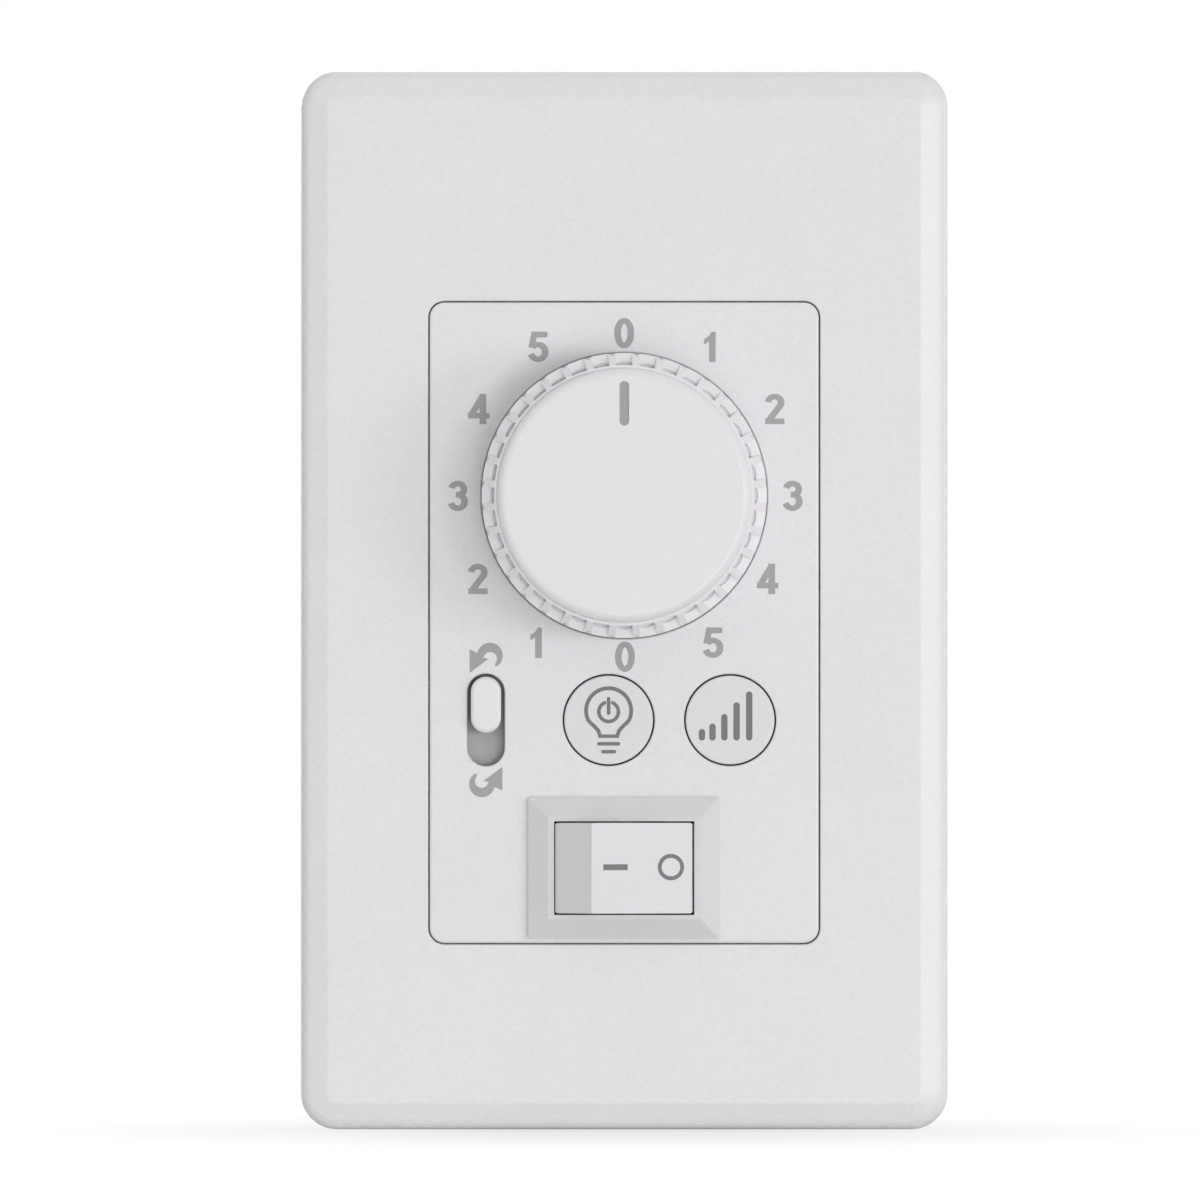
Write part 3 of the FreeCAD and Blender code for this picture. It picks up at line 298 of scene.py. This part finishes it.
def strokeFaces(points, across, upright=None, closed=False, roundEnds=False):
    upright = upright or across       # pen width of strokes that run up, across of those that run sideways
    count = len(points)
    sides = []
    for index, (x, z) in enumerate(points):
        before = points[index - 1] if index or closed else None
        after = points[(index + 1) % count] if index < count - 1 or closed else None
        ways = []
        if before:
            ways.append(Vector((x - before[0], z - before[1])).normalized())
        if after:
            ways.append(Vector((after[0] - x, after[1] - z)).normalized())
        way = sum(ways, Vector((0, 0))).normalized()
        half = 0.5 * math.hypot(across * way.x, upright * way.y)
        if len(ways) == 2:
            half /= max(inkFilm["sharpest"], way.dot(ways[0]))       # mitre at a bend
        side = Vector((-way.y, way.x)) * half
        sides.append(((x + side.x, z + side.y), (x - side.x, z - side.y), half))
    faces = []
    for index in range(count if closed else count - 1):
        one, two = sides[index], sides[(index + 1) % count]
        faces.append([one[1], two[1], two[0], one[0]])
    if roundEnds:
        for (x, z), (_, _, half) in ((points[0], sides[0]), (points[-1], sides[-1])):
            faces.append(ringOf(x, z, half, half, inkFilm["roundSteps"]))
    return faces


def pieceFrom(name, build):
    mesh = bpy.data.meshes.new(name)
    build.to_mesh(mesh)
    build.free()
    piece = bpy.data.objects.new(name, mesh)
    bpy.context.collection.objects.link(piece)
    return piece


# one film from overlapping flat faces: joined in the plane, then given its thickness
def filmMesh(name, faces, low, high, matrix):
    points = []
    outlines = []
    for face in faces:
        outlines.append(list(range(len(points), len(points) + len(face))))
        points += [Vector(point) for point in face]
    spots, _, patches, _, _, owners = delaunay_2d_cdt(points, [], outlines, 1, inkFilm["join"])
    triangles = [patch for patch, owner in zip(patches, owners) if owner]       # holes have no owner
    build = bmesh.new()
    tops = [build.verts.new((spot.x * mm, high * mm, spot.y * mm)) for spot in spots]
    bottoms = [build.verts.new((spot.x * mm, low * mm, spot.y * mm)) for spot in spots]
    loose = {}
    for triangle in triangles:
        build.faces.new([tops[i] for i in triangle])
        build.faces.new([bottoms[i] for i in reversed(triangle)])
        for a, b in zip(triangle, triangle[1:] + triangle[:1]):
            if (b, a) in loose:
                del loose[(b, a)]
            else:
                loose[(a, b)] = True
    for a, b in loose:
        build.faces.new([tops[b], tops[a], bottoms[a], bottoms[b]])
    bmesh.ops.delete(build, geom=[v for v in build.verts if not v.link_faces], context="VERTS")
    bmesh.ops.recalc_face_normals(build, faces=build.faces)
    build.transform(matrix)
    return pieceFrom(name, build)


def markOn(name, faces, plane, body, ink, matrix=Matrix()):
    film = filmMesh(name, faces, plane + inkFilm["sunk"], plane - inkFilm["proud"], matrix)
    film.data.materials.append(finishes[ink])
    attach(film, body)


def moved(faces, x, z):
    return [[(x + px, z + pz) for px, pz in face] for face in faces]


# numbers round the dial, drawn with one broad pen; the flag of the 1 is measured from its upper right corner
dial = {"high": 3.27, "stem": 0.72, "bar": 0.6, "zeroHalf": 0.715, "oneEdge": 0.52, "oneJoin": (0.3, 0.8),
        "oneFlag": ((0, 0), (0.45, 0), (0.62, 0.32), (0.9, 0.6), (1.26, 0.8), (1.26, 1.38), (0.9, 1.18),
                    (0.66, 0.98), (0, 0.6)),
        "places": ((0, 0.0, 28.79), (1, 9.34, 27.29), (2, 16.24, 20.6), (3, 18.18, 11.23), (4, 15.49, 2.28),
                   (5, 9.56, -4.61), (0, 0.08, -6.12), (1, -9.4, -4.61), (2, -15.77, 2.28),
                   (3, -17.92, 11.23), (4, -15.66, 20.6), (5, -9.3, 27.29))}


def numeral(digit):
    stem, bar = dial["stem"], dial["bar"]
    high = dial["high"] / 2
    top = high - bar / 2       # where the pen runs along the upper edge

    def pen(points, closed=False):
        return strokeFaces(points, bar, stem, closed)

    def bowl(x, z, wide, first, last, steps):
        return arcOf(x, z, wide, top - abs(z), first, last, steps)

    if digit == 0:
        return pen(ringOf(0, 0, dial["zeroHalf"], top, inkFilm["ringSteps"]), True)
    if digit == 1:
        edge = dial["oneEdge"]
        right, left = dial["oneJoin"]
        upright = [(edge - stem, -high), (edge, -high), (edge, high - right), (edge - stem, high - left)]
        return [upright, [(edge - x, high - z) for x, z in dial["oneFlag"]]]
    if digit == 2:
        neck = [(0.36, 0.08), (-0.62, -top + 0.12)]
        return pen(bowl(-0.02, 0.68, 0.71, 175, -22, 22) + neck) + pen([(-1.05, -top), (1.04, -top)])
    if digit == 3:
        return pen(bowl(-0.04, 0.72, 0.68, 168, -72, 24) + [(-0.22, 0.14)]) + \
            pen([(-0.22, 0.16)] + bowl(-0.04, -0.6, 0.74, 76, -166, 26))
    if digit == 4:
        return pen([(0.42, -high), (0.42, high)]) + pen([(-1.18, -0.72), (1.14, -0.72)]) + \
            pen([(0.36, 1.34), (-0.86, -0.72)])
    return pen([(1.02, top), (-0.42, top), (-0.68, -0.1)]) + pen(bowl(0.0, -0.54, 0.78, 140, -164, 30))


digitFaces = []
for digit, x, z in dial["places"]:
    digitFaces += moved(numeral(digit), x, z)
markOn("dialNumbers", digitFaces, facePlane, "chassis", "dialInk")

# two curved arrows beside the slide, one the other turned half round
arrow = {"slotX": -14.91, "slotZ": -12.93, "outer": (-14.48, -5.99, 1.39), "inner": (-14.45, -6.34, 0.73),
         "starts": 168, "outerEnds": -52, "innerEnds": -46, "steps": 30, "tail": (-13.9, -7.14),
         "head": ((-16.68, -5.33), (-16.68, -7.87), (-14.64, -6.36), (-15.32, -6.19))}


def arrowFaces():
    def sweep(circle, ends):
        x, z, radius = circle
        return arcOf(x, z, radius, radius, arrow["starts"], ends, arrow["steps"]) + [arrow["tail"]]

    outer = sweep(arrow["outer"], arrow["outerEnds"])
    inner = sweep(arrow["inner"], arrow["innerEnds"])
    bands = []
    for a, b, c, d in zip(outer, outer[1:], inner[1:], inner):
        bands.append([a, d, c, b] if c != b else [a, d, c])
    bands.append([*arrow["head"], inner[0], outer[0]])
    return bands


arrowUp = arrowFaces()
arrowDown = [[(2 * arrow["slotX"] - x, 2 * arrow["slotZ"] - z) for x, z in face] for face in arrowUp]
markOn("turnArrows", arrowUp + arrowDown, facePlane, "chassis", "dialInk")

# lamp sign with a power sign in it
lamp = {"x": -1.68, "z": -12.94, "pen": 0.42, "round": 2.43, "rise": 1.0, "shoulder": -24.0, "roundSteps": 26,
        "side": ((2.0, -0.26), (1.52, -0.7), (1.12, -1.14), (0.92, -1.745)), "neckPen": 0.37, "neckOver": 0.2,
        "bars": ((1.06, -2.565), (0.62, -3.416)), "barPen": 0.39, "power": 1.056, "powerZ": 0.894,
        "powerPen": 0.39, "gap": 24.0, "powerSteps": 36, "stick": (2.3, 0.74)}


def lampFaces():
    edge = arcOf(0, lamp["rise"], lamp["round"], lamp["round"], lamp["shoulder"], 90, lamp["roundSteps"])
    right = list(reversed(lamp["side"])) + edge
    left = [(-x, z) for x, z in reversed(right)]
    faces = strokeFaces(right + left[1:], lamp["pen"])
    neckX, neckZ = lamp["side"][-1]
    neckEnd = neckX + lamp["neckOver"]
    faces += strokeFaces([(-neckEnd, neckZ), (neckEnd, neckZ)], lamp["neckPen"])
    for half, z in lamp["bars"]:
        faces += strokeFaces([(-half, z), (half, z)], lamp["barPen"], roundEnds=True)
    ring = arcOf(0, lamp["powerZ"], lamp["power"], lamp["power"], 90 + lamp["gap"], 450 - lamp["gap"],
                 lamp["powerSteps"])
    faces += strokeFaces(ring, lamp["powerPen"], roundEnds=True)
    stick = [(0.0, z) for z in lamp["stick"]]
    return faces + strokeFaces(stick, lamp["powerPen"], roundEnds=True)


markOn("lampSign", moved(lampFaces(), lamp["x"], lamp["z"]), facePlane, "light_button", "keyInk")

# five rising bars
bars = {"x": 11.42, "z": -12.94, "pen": 0.69, "low": -2.22, "tops": (-0.97, -0.37, 0.65, 1.91, 3.08),
        "at": (-3.04, -1.9, -0.62, 0.7, 2.06)}
barFaces = []
for x, top in zip(bars["at"], bars["tops"]):
    inset = bars["pen"] / 2
    barFaces += strokeFaces([(x, bars["low"] + inset), (x, top - inset)], bars["pen"], roundEnds=True)
markOn("levelSign", moved(barFaces, bars["x"], bars["z"]), facePlane, "dimmer_button", "keyInk")

# bar and ring on the leaning rocker face
rocker = {"pivotY": -4.211, "z": -28.9, "tilt": 18.0, "reach": 6.1163, "markZ": 0.115,
          "bar": (-4.353, -1.602, 0.635), "ring": (3.302, 1.21, 0.43)}
barLow, barHigh, barPen = rocker["bar"]
ringAt, ringR, ringPen = rocker["ring"]
tilt = math.radians(rocker["tilt"])
ring = ringOf(ringAt, 0, ringR / math.cos(tilt), ringR, inkFilm["ringSteps"])       # round to the eye at rest
rockerFaces = strokeFaces([(barLow, 0), (barHigh, 0)], barPen) + strokeFaces(ring, ringPen, closed=True)
rockerLean = Matrix.Translation((0, rocker["pivotY"] * mm, (rocker["z"] + rocker["markZ"]) * mm)) @ \
    Matrix.Rotation(tilt, 4, "Z")
markOn("rockerMarks", rockerFaces, -rocker["reach"], "power_rocker", "keyInk", rockerLean)

# pointer bar, ink in the bottom of its groove
pointer = {"z": 21.15, "long": 4.82, "wide": 1.04, "plane": -18.25, "slack": 0.03}
pointerReach = (pointer["long"] - pointer["wide"]) / 2
pointerFaces = strokeFaces([(0, pointer["z"] - pointerReach), (0, pointer["z"] + pointerReach)],
                           pointer["wide"] - pointer["slack"], roundEnds=True)
markOn("pointerBar", pointerFaces, pointer["plane"], "dial", "dialInk")
print("marks drawn")

# camera: square on, long lens, framed as the photograph
camera = {"lens": 1200.0, "sensor": 36.0, "frame": 129.4, "aimX": -2.61, "aimZ": 0.0, "farthest": 50.0}
lensData = bpy.data.cameras.new("frontCamera")
lensData.lens = camera["lens"]
lensData.sensor_width = camera["sensor"]
lensData.clip_end = camera["farthest"]
frontCamera = bpy.data.objects.new("frontCamera", lensData)
bpy.context.collection.objects.link(frontCamera)
standOff = camera["frame"] * camera["lens"] / camera["sensor"] - facePlane
frontCamera.location = (camera["aimX"] * mm, -standOff * mm, camera["aimZ"] * mm)
frontCamera.rotation_euler = (math.radians(90), 0, 0)
bpy.context.scene.camera = frontCamera

# soft boxes round the part, in metres, by their angle off the line of sight and their turn from the right
lamps = {
    "frontLamp": {"off": 12, "turn": -40, "far": 5.0, "size": 1.6, "power": 34.0},
    "rightSoft": {"off": 24, "turn": 0, "far": 2.4, "size": 0.5, "power": 6.2},
    "keyLamp": {"off": 45, "turn": -5, "far": 2.4, "size": 0.6, "power": 4.8},
    "sideLamp": {"off": 55, "turn": 0, "far": 2.4, "size": 0.6, "power": 4.2},
    "lowLamp": {"off": 22, "turn": -80, "far": 2.4, "size": 0.6, "power": 3.8},
    "fillLamp": {"off": 45, "turn": -150, "far": 2.4, "size": 0.6, "power": 1.8},
    "rightRim": {"off": 112, "turn": 0, "far": 2.4, "size": 1.2, "power": 5.0},
    "topRim": {"off": 112, "turn": 90, "far": 2.4, "size": 1.2, "power": 5.0},
    "backLamp": {"off": 150, "turn": 125, "far": 2.4, "size": 2.0, "power": 18.0},
}
for name, look in lamps.items():
    off, turn = math.radians(look["off"]), math.radians(look["turn"])
    aim = Vector((math.sin(off) * math.cos(turn), -math.cos(off), math.sin(off) * math.sin(turn)))
    place = aim * look["far"]
    lampData = bpy.data.lights.new(name, "AREA")
    lampData.shape = "DISK"
    lampData.size = look["size"]
    lampData.energy = look["power"]
    lampObject = bpy.data.objects.new(name, lampData)
    bpy.context.collection.objects.link(lampObject)
    lampObject.location = place
    lampObject.rotation_euler = place.to_track_quat("Z", "Y").to_euler()


# what the eye, a mirror or glass sees straight
def seenDirect(start):
    ways = [start.make("ShaderNodeLightPath", out=name)
            for name in ("Is Camera Ray", "Is Glossy Ray", "Is Transmission Ray")]
    return ways[0].atLeast(ways[1]).atLeast(ways[2])


# white room to the eye; its light is a dome ahead of the part, dimmer behind it
white = (1, 1, 1, 1)
room = {"dome": 0.64, "rear": 0.18, "ahead": -0.2, "behind": 0.3}
world = bpy.data.worlds.new("paleRoom")
bpy.context.scene.world = world
world.use_nodes = True
world.node_tree.nodes.clear()
sky = Wire(world.node_tree)
way = sky.make("ShaderNodeTexCoord", out="Generated")
back = sky.make("ShaderNodeSeparateXYZ", None, {"Vector": way}, out="Y")
dome = back.span(room["ahead"], room["behind"], smooth, min=room["dome"], max=room["rear"])
seen = seenDirect(sky)
brightness = seen + (1 - seen) * dome
sky.make("ShaderNodeOutputWorld", None,
         {"Surface": sky.make("ShaderNodeBackground", None, {"Color": white, "Strength": brightness})})

# pale floor: white to the eye far off, the shadow kept close to the part, and less far to the sides
ground = {"reach": 2.5, "cells": 8, "drop": 0.0002, "keep": 0.3, "near": 0.01, "fade": 0.16,
          "narrow": (2.3, 1.0, 0.0), "pale": (0.7, 0.7, 0.7, 1)}
floorBuild = bmesh.new()
bmesh.ops.create_grid(floorBuild, x_segments=ground["cells"], y_segments=ground["cells"], size=ground["reach"])
floor = pieceFrom("paleFloor", floorBuild)
floor.location.z = cadBox[0][2] - ground["drop"]
floorFinish, start = newFinish("floorFinish")
across = start.make("ShaderNodeVectorMath", {"operation": "MULTIPLY"},
                    {0: start.make("ShaderNodeTexCoord", out="Object"), 1: ground["narrow"]})
away = start.make("ShaderNodeVectorMath", {"operation": "LENGTH"}, {0: across}, out="Value")
clear = away.span(ground["near"], ground["fade"], smooth)
byEye = start.make("ShaderNodeLightPath", out="Is Camera Ray") * (1 - ground["keep"] * (1 - clear))
matt = start.make("ShaderNodeBsdfDiffuse", None, {"Color": ground["pale"]})
glow = start.make("ShaderNodeEmission", None, {"Color": white, "Strength": 1.0})
bare = byEye.atLeast(seenDirect(start) * clear)
closeFinish(start, start.make("ShaderNodeMixShader", None, {0: bare, 1: matt, 2: glow}))
floor.data.materials.append(floorFinish)
floor.visible_shadow = False       # lamps that stand below it shine through
bpy.context.scene.view_settings.view_transform = "Standard"
print("camera and light set")
